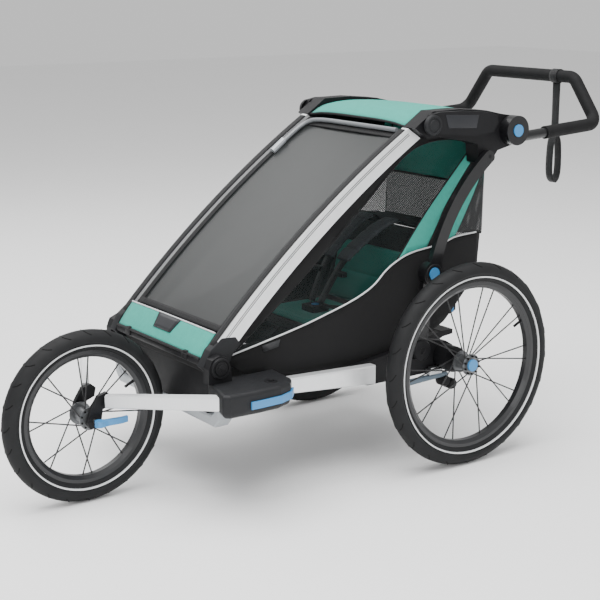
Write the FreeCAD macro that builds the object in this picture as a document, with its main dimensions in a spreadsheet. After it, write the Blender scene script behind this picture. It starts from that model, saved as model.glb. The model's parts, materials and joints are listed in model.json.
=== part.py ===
import FreeCAD, Part
import math
import os

import Sketcher
from FreeCAD import Vector

# Single-seat child trailer in its jogging set-up: two 20 inch rear wheels, one 16 inch front wheel.
# +Z is up, the front is -Y and +X is the trailer's left. Millimetres and degrees.
# Every sub-part is drawn about the point on the floor under the rear axle. Its Placement then
# sets the trailer back by axle_setback, so that the origin is under the middle of the trailer.

SIZES = {
    "axle_setback": 283.5,
    # wheels
    "rear_radius": 250.0, "rear_track": 315.3, "tyre_half": 23.5,
    "front_radius": 199.5, "wheelbase": 868.3, "rim_drop": 45.0, "rim_depth": 16.0,
    "rim_half": 13.0, "spoke_radius": 1.25, "flange_radius": 26.5, "flange_thick": 3.0,
    "hub_barrel": 17.5,
    "front_hub_half": 30.0, "rear_hub_inner": 284.0, "rear_hub_outer": 329.0,
    "stub_radius": 6.0, "front_axle_radius": 4.5, "running_gap": 0.05,
    "cap_radius": 14.5, "cap_travel": 4.0, "cap_depth": 8.0,
    # folding frame
    "upright_inner": 191.0, "upright_outer": 213.0, "bow_radius": 2700.0,
    "front_pivot_y": -657.0, "front_pivot_z": 331.0,
    "handle_pivot_y": 189.0, "handle_pivot_z": 796.0,
    "strut_pivot_y": 108.0, "strut_pivot_z": 738.0,
    "elbow_y": -62.0, "elbow_z": 470.0, "strut_bow": 460.0,
    "rear_pivot_y": -85.0, "rear_pivot_z": 281.0,
    "strut_half": 17.0, "elbow_radius": 30.0, "pin_radius": 5.0,
    "lower_strut_inner": 227.0, "lower_strut_outer": 240.0,
    "upper_strut_inner": 241.0, "upper_strut_outer": 254.0,
    "casting_step": 235.0, "casting_outer": 250.0,
    # handlebar
    "hub_inner": 236.0, "hub_outer": 264.0, "hub_radius": 36.0, "handle_radius": 12.5,
    "grip_radius": 16.0, "grip_reach": 190.0, "handle_half": 249.0, "handle_bend_half": 245.6,
    "handle_bar_half": 160.0, "handle_reach": 483.3, "handle_low_z": 794.0,
    "handle_high_z": 906.0, "button_radius": 15.0, "strap_x": 100.0, "strap_half": 12.0,
    # chassis
    "rail_inner": 222.0, "rail_outer": 246.0, "rail_front": -494.0, "rail_back": -228.0,
    "axle_radius": 11.0, "drum_radius": 32.0, "socket_low": 243.0, "socket_high": 297.0,
    "socket_round": 15.0,
    "hitch_pin_x": 287.0, "hitch_pin_y": -557.0, "hitch_pin_radius": 7.0, "hitch_pin_depth": 30.0,
    "bar_front": -664.0, "bar_back": -628.0, "bar_low": 191.0, "bar_thick": 25.0,
    # fabric
    "cabin_half": 187.0, "seat_half": 165.0,
}
SIDES = {"left": 1, "right": -1}
PLANES = {"XY": "XY_Plane", "XZ": "XZ_Plane", "YZ": "YZ_Plane"}

doc = FreeCAD.newDocument("child_trailer")
sheet = doc.addObject("Spreadsheet::Sheet", "Sizes")
for row, (alias, number) in enumerate(SIZES.items(), start=1):
    sheet.set(f"A{row}", alias)
    sheet.set(f"B{row}", str(number))
    sheet.setAlias(f"B{row}", alias)
doc.recompute()
subparts = []


def worth(size):
    """The number that a size stands for: a number, or an expression over the sheet's cells."""
    if isinstance(size, str):
        return float(sheet.evalExpression(size))
    return float(size)


def bind(item, path, size):
    """Bind one property of a document object to a size."""
    item.setExpression(path, size if isinstance(size, str) else repr(size))


def cell(alias, factor=1):
    """An expression for a cell of the sheet, on the left (1) or the right (-1) side."""
    return f"Sizes.{alias} * {factor}"


def paired(label, *makers):
    """One sub-part of separate solids: each make(body, side) draws one on the left and right."""
    halves = []
    for make in makers:
        for name, side in SIDES.items():
            body = doc.addObject("PartDesign::Body", f"{label}_{name}")
            make(body, side)
            halves.append(body)
    group = doc.addObject("Part::Compound", label)
    group.Links = halves
    return register(group, label)


def register(item, label):
    item.Label = label
    bind(item, "Placement.Base.y", "Sizes.axle_setback")
    subparts.append(item)
    return item


def new_body(label):
    return register(doc.addObject("PartDesign::Body", label), label)


def new_sketch(body, plane, offset=(0, 0, 0)):
    """A sketch on one of the body's own planes, moved in the plane (u, v) and along its normal."""
    sketch = body.newObject("Sketcher::SketchObject", "Sketch")
    support = next(f for f in body.Origin.OriginFeatures if f.Role == PLANES[plane])
    sketch.AttachmentSupport = [(support, "")]
    sketch.MapMode = "FlatFace"
    for axis, size in zip("xyz", offset):
        bind(sketch, f"AttachmentOffset.Base.{axis}", size)
    return sketch


def place_point(sketch, geo, pos, point):
    """Fix a point of a sketch by its two distances from the sketch's origin."""
    for kind, size in zip(("DistanceX", "DistanceY"), point):
        number = sketch.addConstraint(Sketcher.Constraint(kind, -1, 1, geo, pos, worth(size)))
        if isinstance(size, str):
            sketch.setExpression(f"Constraints[{number}]", size)


def arc_middle(start, end, radius):
    """The middle of the short arc from start to end: left of the way with a positive radius."""
    chord = end - start
    half = chord.Length / 2
    rise = abs(radius) - math.sqrt(radius * radius - half * half)
    normal = Vector(-chord.y, chord.x, 0).normalize()
    return (start + end) / 2 + normal * math.copysign(rise, radius)


def draw_outline(sketch, points, arcs=None):
    """A closed outline through the points. arcs gives the radius of an edge that is an arc."""
    arcs = arcs or {}
    corners = [Vector(worth(u), worth(v), 0) for u, v in points]
    first = sketch.GeometryCount
    ends = []
    for index, corner in enumerate(corners):
        follower = corners[(index + 1) % len(corners)]
        if index in arcs:
            radius = worth(arcs[index])
            middle = arc_middle(corner, follower, radius)
            if radius > 0:
                sketch.addGeometry(Part.Arc(follower, middle, corner))
                ends.append((2, 1))
            else:
                sketch.addGeometry(Part.Arc(corner, middle, follower))
                ends.append((1, 2))
        else:
            sketch.addGeometry(Part.LineSegment(corner, follower))
            ends.append((1, 2))
    for index, point in enumerate(points):
        geo = first + index
        after = (index + 1) % len(points)
        sketch.addConstraint(Sketcher.Constraint(
            "Coincident", geo, ends[index][1], first + after, ends[after][0]))
        place_point(sketch, geo, ends[index][0], point)
        if index in arcs:
            radius = arcs[index]
            number = sketch.addConstraint(
                Sketcher.Constraint("Radius", geo, abs(worth(radius))))
            if isinstance(radius, str):
                sketch.setExpression(f"Constraints[{number}]", f"abs({radius})")


def draw_circle(sketch, centre, radius):
    middle = Vector(worth(centre[0]), worth(centre[1]), 0)
    geo = sketch.addGeometry(Part.Circle(middle, Vector(0, 0, 1), worth(radius)))
    place_point(sketch, geo, 3, centre)
    number = sketch.addConstraint(Sketcher.Constraint("Radius", geo, worth(radius)))
    bind(sketch, f"Constraints[{number}]", radius)


def pad(body, sketch, length):
    feature = body.newObject("PartDesign::Pad", "Pad")
    feature.Profile = sketch
    bind(feature, "Length", length)
    return feature


def plate(body, side, inner, outer, points=None, arcs=None, circle=None, holes=()):
    """A slab in a side view: y and z outline, between two x values that are mirrored by side."""
    start = f"({inner}) * 1" if side > 0 else f"({outer}) * -1"
    sketch = new_sketch(body, "YZ", (0, 0, start))
    if points:
        draw_outline(sketch, points, arcs)
    if circle:
        draw_circle(sketch, *circle)
    for centre, radius in holes:
        draw_circle(sketch, centre, radius)
    return pad(body, sketch, f"({outer}) - ({inner})")


def turned(body, profile, centre_y, centre_z, arcs=None):
    """A solid of revolution about the line along X through (centre_y, centre_z)."""
    sketch = new_sketch(body, "XZ", (0, centre_z, f"({centre_y}) * -1"))
    draw_outline(sketch, profile, arcs)
    feature = body.newObject("PartDesign::Revolution", "Revolution")
    feature.Profile = sketch
    feature.ReferenceAxis = (sketch, ["H_Axis"])
    feature.Angle = 360
    return feature


def drum(body, side, x_near, x_far, radius, centre_y, centre_z, bore=0):
    """A ring or a disc about an axle, from x_near to x_far on one side."""
    near, far = f"({x_near}) * {side}", f"({x_far}) * {side}"
    return turned(body, [(near, bore), (far, bore), (far, radius), (near, radius)],
                  centre_y, centre_z)


def rounded(body, base, radius, chosen):
    """Round the chosen edges of the body's last feature."""
    doc.recompute()
    names = [f"Edge{n}" for n, edge in enumerate(base.Shape.Edges, start=1) if chosen(edge)]
    feature = body.newObject("PartDesign::Fillet", "Fillet")
    feature.Base = (base, names)
    bind(feature, "Radius", radius)
    return feature


def lies_at_x(x_value):
    """A test for the edges that lie in the plane x = x_value."""
    return lambda edge: all(abs(v.Point.x - x_value) < 1e-3 for v in edge.Vertexes)


def lies_at_y(y_value):
    return lambda edge: all(abs(v.Point.y - y_value) < 1e-3 for v in edge.Vertexes)


def lies_at_z(z_value):
    return lambda edge: all(abs(v.Point.z - z_value) < 1e-3 for v in edge.Vertexes)


def solid_feature(label, shape):
    """A sub-part whose shape is swept or lofted in three dimensions."""
    feature = doc.addObject("Part::Feature", label)
    feature.Shape = shape
    return register(feature, label)


def rounded_path(corners, radius):
    """Straight runs through the corners, joined by tangent arcs of one radius."""
    edges = []
    start = corners[0]
    for before, corner, after in zip(corners, corners[1:], corners[2:]):
        into = (corner - before).normalize()
        out = (after - corner).normalize()
        turn = into.getAngle(out)
        inset = radius * math.tan(turn / 2)
        bisector = (out - into).normalize()
        centre = corner + bisector * (radius / math.cos(turn / 2))
        first, last = corner - into * inset, corner + out * inset
        middle = centre - bisector * radius
        edges.append(Part.LineSegment(start, first).toShape())
        edges.append(Part.Arc(first, middle, last).toShape())
        start = last
    edges.append(Part.LineSegment(start, corners[-1]).toShape())
    return Part.Wire(edges)


def pipe(path, outer, inner=0):
    """A round bar or a tube along a path."""
    start = path.Edges[0].firstVertex().Point
    way = path.Edges[0].tangentAt(path.Edges[0].FirstParameter)
    solids = []
    for radius in (outer, inner):
        if radius:
            ring = Part.Wire(Part.makeCircle(radius, start, way))
            solids.append(path.makePipeShell([ring], True, False))
    return solids[0].cut(solids[1]) if inner else solids[0]


def bar_section(centre, across, half_width, half_height, bevel):
    """An eight-sided bar section: across is level, and the section's height is along Z."""
    level = Vector(across.x, across.y, 0).normalize()
    upward = Vector(0, 0, 1)
    u_out, u_in = half_width, half_width - bevel
    v_out, v_in = half_height, half_height - bevel
    ring = [(u_out, v_in), (u_in, v_out), (-u_in, v_out), (-u_out, v_in),
            (-u_out, -v_in), (-u_in, -v_out), (u_in, -v_out), (u_out, -v_in)]
    points = [centre + level * u + upward * v for u, v in ring]
    return Part.makePolygon(points + [points[0]])


# ---- wheels -------------------------------------------------------------------------------

def make_tyre(label, plane_x, radius, centre_y):
    body = new_body(label)
    half = "Sizes.tyre_half"
    bead = f"{radius} - Sizes.rim_drop"
    outline = [
        (f"{plane_x} - {half}", f"{radius} - {half}"), (plane_x, radius),
        (f"{plane_x} + {half}", f"{radius} - {half}"),
        (f"{plane_x} + Sizes.rim_half", bead), (f"{plane_x} - Sizes.rim_half", bead)]
    turned(body, outline, centre_y, radius, arcs={0: half, 1: half})


def make_rim(label, plane_x, radius, centre_y):
    body = new_body(label)
    outer = f"{radius} - Sizes.rim_drop - 0.4"
    middle = f"{outer} - 8"
    inner = f"{outer} - Sizes.rim_depth"
    half = "Sizes.rim_half"
    outline = [
        (f"{plane_x} - {half}", outer), (f"{plane_x} - {half}", middle), (f"{plane_x} - 7", inner),
        (f"{plane_x} + 7", inner), (f"{plane_x} + {half}", middle), (f"{plane_x} + {half}", outer)]
    turned(body, outline, centre_y, radius)


def make_hub(label, near, far, side, bore, centre_y, centre_z, recess=0):
    """A hub shell with two flanges. recess widens the bore's outer end to this radius."""
    body = new_body(label)
    flange, barrel = "Sizes.flange_radius", "Sizes.hub_barrel"
    thick = f"Sizes.flange_thick * {side}"
    inset = 4 * side
    inner = f"{near} + {inset}"
    outer = f"{far} - {inset}"
    outline = [
        (near, bore), (near, barrel), (inner, barrel), (inner, flange),
        (f"{inner} + {thick}", flange), (f"{inner} + {thick}", barrel),
        (f"{outer} - {thick}", barrel), (f"{outer} - {thick}", flange), (outer, flange),
        (outer, barrel), (far, barrel)]
    if recess:
        depth = f"{far} - Sizes.cap_depth * {side}"
        outline += [(far, recess), (depth, recess), (depth, bore)]
    else:
        outline += [(far, bore)]
    turned(body, outline, centre_y, centre_z)


def make_spokes(label, plane_x, radius, centre_y, flanges, pairs):
    """Crossed pairs of spokes, from the two flanges to the middle of the rim."""
    start_radius = SIZES["flange_radius"] + 0.4
    end_radius = radius - SIZES["rim_drop"] - SIZES["rim_depth"] - 1.2
    centre = Vector(0, centre_y, radius)
    spokes = []
    for index in range(2 * pairs):
        pair_angle = 360.0 / pairs * (index // 2)
        lean = 1 if index % 2 else -1
        start_angle = math.radians(pair_angle + lean * 26)
        end_angle = math.radians(pair_angle - lean * 5)
        start = centre + Vector(flanges[index % 2], start_radius * math.cos(start_angle),
                                start_radius * math.sin(start_angle))
        end = centre + Vector(plane_x + lean * 2, end_radius * math.cos(end_angle),
                              end_radius * math.sin(end_angle))
        way = end - start
        spokes.append(Part.makeCylinder(SIZES["spoke_radius"], way.Length, start, way))
    solid_feature(label, Part.makeCompound(spokes))


def make_rear_wheel(name, side):
    plane_x = cell("rear_track", side)
    radius = "Sizes.rear_radius"
    make_tyre(f"rear_tyre_{name}", plane_x, radius, 0)
    make_rim(f"rear_rim_{name}", plane_x, radius, 0)
    make_hub(f"rear_hub_{name}", cell("rear_hub_inner", side), cell("rear_hub_outer", side), side,
             "Sizes.stub_radius + Sizes.running_gap", 0, radius, recess="Sizes.cap_radius + 0.3")
    flanges = [side * (SIZES["rear_hub_inner"] + 5.5), side * (SIZES["rear_hub_outer"] - 5.5)]
    make_spokes(f"rear_spokes_{name}", side * SIZES["rear_track"], SIZES["rear_radius"], 0,
                flanges, 10)
    cap = new_body(f"wheel_release_{name}")
    drum(cap, side, "Sizes.rear_hub_outer - Sizes.cap_depth + Sizes.cap_travel + 0.5",
         "Sizes.rear_hub_outer + Sizes.cap_travel", "Sizes.cap_radius", 0, radius)


def make_front_wheel():
    centre_y = "Sizes.wheelbase * -1"
    radius = "Sizes.front_radius"
    half = "Sizes.front_hub_half"
    make_tyre("front_tyre", "0 * Sizes.rear_track", radius, centre_y)
    make_rim("front_rim", "0 * Sizes.rear_track", radius, centre_y)
    make_hub("front_hub", f"{half} * -1", half, 1,
             "Sizes.front_axle_radius + Sizes.running_gap", centre_y, radius)
    flange_x = SIZES["front_hub_half"] - 5.5
    make_spokes("front_spokes", 0, SIZES["front_radius"], -SIZES["wheelbase"],
                [-flange_x, flange_x], 8)


def make_front_axle():
    centre = ("Sizes.wheelbase * -1", "Sizes.front_radius")
    body = new_body("front_axle")
    drum(body, 1, -54, 58, "Sizes.front_axle_radius", *centre)
    nut = new_body("front_axle_nut")
    drum(nut, -1, 47, 56, 10, *centre, bore="Sizes.front_axle_radius + 0.1")
    lever = new_body("quick_release_lever")
    sketch = new_sketch(lever, "XY", (0, 0, "Sizes.front_radius - 7"))
    draw_outline(sketch, [(62, -860), (59, -868), (62, -876), (70, -879), (78, -876), (81, -868),
                          (76, -850), (78, -815), (74, -799), (68, -799), (70, -815), (66, -850)])
    pad(lever, sketch, 14)


# ---- chassis ------------------------------------------------------------------------------

def make_rail(name, side):
    body = new_body(f"side_rail_{name}")
    base = plate(body, side, "Sizes.rail_inner", "Sizes.rail_outer", [
        ("Sizes.rail_front", 243), ("Sizes.rail_back", 222),
        ("Sizes.rail_back", 268), ("Sizes.rail_front", 279)])
    rounded(body, base, 5, lies_at_x(side * SIZES["rail_outer"]))


def make_arm_socket(name, side):
    """The housing on the front corner that takes the jogging arm or the bicycle hitch arm."""
    body = new_body(f"arm_socket_{name}")
    sketch = new_sketch(body, "XY", (0, 0, "Sizes.socket_low"))
    outline = [(205, -668), (318, -703), (331, -690), (333, -610), (330, -560), (316, -526),
               (290, -504), (205, -496)]
    draw_outline(sketch, [(side * u, v) for u, v in outline])
    base = pad(body, sketch, "Sizes.socket_high - Sizes.socket_low")
    top_rounded = rounded(body, base, 9, lies_at_z(SIZES["socket_high"]))
    at_bottom = lies_at_z(SIZES["socket_low"])

    def outer_bottom(edge):
        return at_bottom(edge) and any(abs(v.Point.x) > 210 for v in edge.Vertexes)

    rounded(body, top_rounded, SIZES["socket_round"], outer_bottom)
    hole = new_sketch(body, "XY", (0, 0, "Sizes.socket_high"))
    draw_circle(hole, (side * worth("Sizes.hitch_pin_x"), "Sizes.hitch_pin_y"),
                "Sizes.hitch_pin_radius")
    pocket = body.newObject("PartDesign::Pocket", "Pocket")
    pocket.Profile = hole
    bind(pocket, "Length", "Sizes.hitch_pin_depth")
    doc.recompute()


def make_latch(name, side):
    """The latch clip that wraps round the outer rear corner of the socket."""
    body = new_body(f"socket_latch_{name}")
    sketch = new_sketch(body, "XY", (0, 0, 259))
    outline = [(333.2, -640), (337.5, -640), (337.5, -609), (334.2, -558), (319.2, -522.5),
               (298, -503), (294.5, -506), (316.3, -525.5), (330.5, -559.6), (333.4, -610)]
    draw_outline(sketch, [(side * u, v) for u, v in outline])
    pad(body, sketch, 17)


def make_front_bar():
    """The light U-shaped bar across the front, under the sockets."""
    body = new_body("front_bar")
    sketch = new_sketch(body, "XZ", (0, 0, "Sizes.bar_back * -1"))
    low, high = "Sizes.bar_low", "Sizes.bar_low + Sizes.bar_thick"
    top = "Sizes.socket_low - 0.5"
    half = [(203, high), (218, "Sizes.bar_low + 37"), (218, top),
            (240, top), (240, "Sizes.bar_low + 22"), (219, low)]
    mirrored = [(-u, v) for u, v in reversed(half)]
    draw_outline(sketch, half + mirrored)
    base = pad(body, sketch, "Sizes.bar_back - Sizes.bar_front")
    rounded(body, base, 6, lies_at_y(SIZES["bar_front"]))


def make_footwell():
    """The floor under the child's feet, with a kick wall that stands on the front bar."""
    body = new_body("footwell")
    plate(body, 1, "Sizes.cabin_half * -1", "Sizes.cabin_half", [
        (-661, 217), (-600, 217), (-240, 228), (-190, 262), (-196, 274), (-250, 240), (-606, 230),
        (-640, 304), (-652, 304)])


def make_front_cross_tube():
    body = new_body("front_cross_tube")
    drum(body, 1, "Sizes.upright_inner * -1 + 0.5", "Sizes.upright_inner - 0.5", 11,
         "Sizes.front_pivot_y", "Sizes.front_pivot_z")


def front_bracket(body, side):
    """A cheek that stands on the socket and holds the upright's foot from outside."""
    pivot = ("Sizes.front_pivot_y", "Sizes.front_pivot_z")
    foot = "Sizes.socket_high + 0.3"
    outline = [(-686, foot), (-626, foot)]
    for angle in (0, 45, 90, 135, 180):
        reach_y = 28 * math.cos(math.radians(angle))
        reach_z = 28 * math.sin(math.radians(angle))
        outline.append((f"{pivot[0]} + {reach_y:.3f}", f"{pivot[1]} + {reach_z:.3f}"))
    plate(body, side, "Sizes.upright_outer + 1", "Sizes.upright_outer + 24", outline,
          holes=[(pivot, "Sizes.pin_radius + Sizes.running_gap")])


def rear_bracket(body, side):
    """The plate that joins the side rail, the axle and the lower strut's pivot."""
    pivot = ("Sizes.rear_pivot_y", "Sizes.rear_pivot_z")
    plate(body, side, "Sizes.rail_inner - 19", "Sizes.rail_inner - 0.3", [
        (-300, 233), (-235, 214), (-110, 214), (-24, 214), (24, 214), (38, 240), (30, 274),
        (10, 286), (-40, 296), (-70, 308), (-100, 306), (-150, 284), (-300, 264)],
        holes=[((0, "Sizes.rear_radius"), "Sizes.axle_radius + 0.3"),
               (pivot, "Sizes.pin_radius + Sizes.running_gap")])


def make_rear_axle():
    body = new_body("rear_axle")
    stub = "Sizes.rear_hub_outer - Sizes.cap_depth - 0.5"
    shoulder = "Sizes.rear_hub_inner - 1"
    turned(body, [
        (f"({stub}) * -1", 0), (f"({stub}) * -1", "Sizes.stub_radius"),
        (f"({shoulder}) * -1", "Sizes.stub_radius"), (f"({shoulder}) * -1", "Sizes.axle_radius"),
        (shoulder, "Sizes.axle_radius"), (shoulder, "Sizes.stub_radius"),
        (stub, "Sizes.stub_radius"), (stub, 0)], 0, "Sizes.rear_radius")


def axle_housing(body, side):
    drum(body, side, "Sizes.rail_inner + 1", 266, "Sizes.drum_radius", 0, "Sizes.rear_radius",
         bore="Sizes.axle_radius + 0.3")


def make_brake_pedal():
    """A foot bar behind the axle, on two arms that turn about it."""
    body = new_body("brake_pedal")
    for start in (-120, 100):
        sketch = new_sketch(body, "YZ", (0, 0, start))
        draw_outline(sketch, [(-17, 236), (17, 236), (88, 262), (88, 278), (14, 266), (-17, 266)])
        draw_circle(sketch, (0, "Sizes.rear_radius"), "Sizes.axle_radius + Sizes.running_gap")
        pad(body, sketch, 20)
        if start < 0:
            bar = new_sketch(body, "YZ", (0, 0, start))
            draw_outline(bar, [(82, 262), (122, 266), (122, 278), (82, 278)])
            pad(body, bar, 240)


def make_jog_arm(name, side):
    """A silver bar from beside the front wheel to the slanted front face of the socket."""
    start, end = Vector(side * 54, -839, 243), Vector(side * 312, -711.5, 281)
    socket_face = Vector(side * 113, -35, 0)
    square_cut = Vector(side * -0.45, 0.9, 0)
    sections = [bar_section(start, square_cut * -1, 9, 15.5, 3),
                bar_section(end, socket_face, 13.5, 15.5, 3)]
    solid_feature(f"jog_arm_{name}", Part.makeLoft(sections, True, True))


def dropout(body, side):
    """The curved black end of a jogging arm, which holds the front axle."""
    centre = ("Sizes.wheelbase * -1", "Sizes.front_radius")
    plate(body, side, 34, 45, [
        (-884, 196), (-880, 184), (-868, 181), (-856, 184), (-850, 198), (-846, 222), (-826, 230),
        (-822, 250), (-834, 260), (-856, 254), (-874, 226)],
        holes=[(centre, "Sizes.front_axle_radius + 0.3")])


# ---- folding frame ------------------------------------------------------------------------

def make_upright(name, side):
    """A bowed extrusion with a foot that turns about the front pivot."""
    body = new_body(f"upright_{name}")
    inner, outer = "Sizes.upright_inner", "Sizes.upright_outer"
    bow = "Sizes.bow_radius"
    pivot = ("Sizes.front_pivot_y", "Sizes.front_pivot_z")
    bore = "Sizes.pin_radius + Sizes.running_gap"
    plate(body, side, inner, outer, [(-613, 355), (-79, 791), (-116, 816), (-664, 364)],
          arcs={0: bow, 2: f"{bow} * -1"})
    plate(body, side, inner, outer, [(-668, 360), (-682, 331), (-657, 306), (-636, 318), (-611, 357)],
          holes=[(pivot, bore)])


def make_casting(name, side):
    """The top corner: it caps the upright, and carries the strut and the handlebar's pivot."""
    body = new_body(f"top_casting_{name}")
    inner, step, outer = "Sizes.upright_inner", "Sizes.casting_step", "Sizes.casting_outer"
    pivot = ("Sizes.handle_pivot_y", "Sizes.handle_pivot_z")
    strut_pivot = ("Sizes.strut_pivot_y", "Sizes.strut_pivot_z")
    outline = [(-114, 818), (-60, 854), (24, 855), (110, 847), (160, 836), (200, 830), (225, 796),
               (204, 760), (150, 748), (128, 722), (108, 714), (90, 722), (84, 766), (59, 775),
               (-37, 793), (-75, 791)]
    plate(body, side, inner, step, outline)
    plate(body, side, step, outer, [
        (-86, 828), (-76, 848), (-50, 853), (24, 852), (110, 844), (132, 836), (136, 816),
        (120, 796), (60, 790), (-40, 800), (-76, 804)])
    for centre, radius, end in ((pivot, 8, "Sizes.hub_inner + 13"),
                                (strut_pivot, "Sizes.pin_radius", "Sizes.upper_strut_outer")):
        sketch = new_sketch(body, "YZ", (0, 0, f"({inner}) * 1" if side > 0 else f"({end}) * -1"))
        draw_circle(sketch, centre, radius)
        pad(body, sketch, f"({end}) - ({inner})")


def strut(body, side, inner, outer, top, low, holes, bowed=False):
    """A strut with rounded ends between two pivots, straight or bowed towards the front."""
    end = "Sizes.strut_half + 0.3"
    arcs = {0: end, 2: end}
    if bowed:
        arcs[1] = "Sizes.strut_bow + Sizes.strut_half"
        arcs[3] = "Sizes.strut_half - Sizes.strut_bow"
    return plate(body, side, inner, outer, strut_corners(*top, *low), arcs=arcs,
                 holes=[(pivot, "Sizes.pin_radius + Sizes.running_gap") for pivot in holes])


def strut_corners(top_y, top_z, low_y, low_z):
    """The four corners of a strut between two pivots, as expressions."""
    rise = math.hypot(worth(top_y) - worth(low_y), worth(top_z) - worth(low_z))
    way_y = (worth(top_y) - worth(low_y)) / rise
    way_z = (worth(top_z) - worth(low_z)) / rise
    corners = []
    for y, z, side in ((low_y, low_z, 1), (low_y, low_z, -1), (top_y, top_z, -1),
                       (top_y, top_z, 1)):
        corners.append((f"{y} + Sizes.strut_half * {side * way_z:.5f}",
                        f"{z} - Sizes.strut_half * {side * way_y:.5f}"))
    return corners


def upper_strut(body, side):
    """From the casting down to the elbow: an outer layer, with a lug inside the casting's line."""
    top = ("Sizes.strut_pivot_y", "Sizes.strut_pivot_z")
    elbow = ("Sizes.elbow_y", "Sizes.elbow_z")
    inner, outer = "Sizes.upper_strut_inner", "Sizes.upper_strut_outer"
    strut(body, side, inner, outer, top, elbow, holes=[top], bowed=True)
    plate(body, side, inner, outer, circle=(elbow, "Sizes.elbow_radius"))
    doc.recompute()
    before = body.Shape.Volume
    sketch = new_sketch(body, "YZ", (0, 0, f"({outer} - 10) * {side}"))
    draw_circle(sketch, elbow, "Sizes.button_radius + 0.3")
    pocket = body.newObject("PartDesign::Pocket", "Pocket")
    pocket.Profile = sketch
    pocket.Reversed = side > 0
    bind(pocket, "Length", 10)
    doc.recompute()
    if body.Shape.Volume > before - 5000:
        raise RuntimeError("the button's pocket cut nothing")


def lower_strut(body, side):
    elbow = ("Sizes.elbow_y", "Sizes.elbow_z")
    pivot = ("Sizes.rear_pivot_y", "Sizes.rear_pivot_z")
    inner, outer = "Sizes.lower_strut_inner", "Sizes.lower_strut_outer"
    strut(body, side, inner, outer, elbow, pivot, holes=[pivot])
    plate(body, side, inner, outer, circle=(elbow, "Sizes.elbow_radius - 3"))


def make_fold_button(name, side):
    body = new_body(f"fold_button_{name}")
    drum(body, side, "Sizes.upper_strut_outer - 5", "Sizes.upper_strut_outer + 3",
         "Sizes.button_radius", "Sizes.elbow_y", "Sizes.elbow_z")


def front_pin(body, side):
    """The pin of the front pivot."""
    drum(body, side, "Sizes.upright_inner", "Sizes.upright_outer + 26", "Sizes.pin_radius",
         "Sizes.front_pivot_y", "Sizes.front_pivot_z")


def rear_pin(body, side):
    """The pin of the lower strut's pivot."""
    drum(body, side, "Sizes.rail_inner - 19", "Sizes.lower_strut_outer", "Sizes.pin_radius",
         "Sizes.rear_pivot_y", "Sizes.rear_pivot_z")


def make_top_tube():
    body = new_body("top_cross_tube")
    drum(body, 1, "Sizes.upright_inner * -1 + 0.5", "Sizes.upright_inner - 0.5", 10, 96, 806)


# ---- handlebar ----------------------------------------------------------------------------

def handle_corners():
    start_y = SIZES["handle_pivot_y"] + 18
    reach = SIZES["handle_reach"]
    half = [Vector(SIZES["handle_half"], start_y, SIZES["handle_pivot_z"] - 18),
            Vector(SIZES["handle_bend_half"], reach, SIZES["handle_low_z"]),
            Vector(SIZES["handle_bar_half"], reach, SIZES["handle_high_z"])]
    return half + [Vector(-p.x, p.y, p.z) for p in reversed(half)]


def pivot_hub(side):
    """The ring that turns on the casting's pin, with a pocket for the button."""
    start = Vector(side * SIZES["hub_inner"], SIZES["handle_pivot_y"], SIZES["handle_pivot_z"])
    way = Vector(side, 0, 0)
    width = SIZES["hub_outer"] - SIZES["hub_inner"]
    ring = Part.makeCylinder(SIZES["hub_radius"], width, start, way)
    bore = Part.makeCylinder(8 + SIZES["running_gap"], width, start, way)
    pocket = Part.makeCylinder(SIZES["button_radius"] + 0.3, width - 14, start + way * 14, way)
    return ring, bore.fuse(pocket)


def make_handlebar():
    path = rounded_path(handle_corners(), 32)
    bar = pipe(path, SIZES["handle_radius"])
    for side in SIDES.values():
        ring, hollow = pivot_hub(side)
        bar = bar.fuse(ring).cut(hollow)
    solid_feature("handlebar", bar.removeSplitter())
    corners = handle_corners()
    corners[0] = corners[1] + (corners[0] - corners[1]).normalize() * SIZES["grip_reach"]
    corners[-1] = corners[-2] + (corners[-1] - corners[-2]).normalize() * SIZES["grip_reach"]
    sleeve = pipe(rounded_path(corners, 32), SIZES["grip_radius"], SIZES["handle_radius"] + 0.1)
    solid_feature("handlebar_grip", sleeve)


def make_pivot_button(name, side):
    body = new_body(f"handlebar_button_{name}")
    drum(body, side, "Sizes.hub_outer - 7.5", "Sizes.hub_outer + 3", "Sizes.button_radius",
         "Sizes.handle_pivot_y", "Sizes.handle_pivot_z")


def make_strap():
    """A flat web loop that hangs from the crossbar."""
    body = new_body("wrist_strap")
    centre_z = "Sizes.handle_high_z"
    near = "Sizes.strap_x - Sizes.strap_half"
    far = "Sizes.strap_x + Sizes.strap_half"
    turned(body, [(near, "Sizes.grip_radius + 0.2"), (far, "Sizes.grip_radius + 0.2"),
                  (far, "Sizes.grip_radius + 1.7"), (near, "Sizes.grip_radius + 1.7")],
           "Sizes.handle_reach", centre_z)
    sketch = new_sketch(body, "YZ", (0, 0, near))
    low = f"{centre_z} - 282"
    draw_outline(sketch, [
        ("Sizes.handle_reach - 2", f"{centre_z} - Sizes.grip_radius - 0.6"),
        ("Sizes.handle_reach - 2", low), ("Sizes.handle_reach + 2", low),
        ("Sizes.handle_reach + 2", f"{centre_z} - Sizes.grip_radius - 0.6")])
    pad(body, sketch, "Sizes.strap_half * 2")


# ---- fabric and seat ----------------------------------------------------------------------

def across_cabin(label, points, arcs=None, half="Sizes.cabin_half"):
    """A soft piece with one side outline, as wide as the cabin."""
    body = new_body(label)
    plate(body, 1, f"({half}) * -1", half, points, arcs)


def side_panel(body, side):
    """The fabric side with its clear window, from the upright back to the strut."""
    plate(body, side, "Sizes.cabin_half + 0.5", "Sizes.upright_inner - 0.4", [
        (-612, 330), (-560, 290), (-302, 272), (-160, 312), (-60, 322), (20, 330), (92, 402),
        (130, 466), (143, 536), (143, 700), (104, 748), (60, 764), (-80, 780), (-340, 600)])


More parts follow.
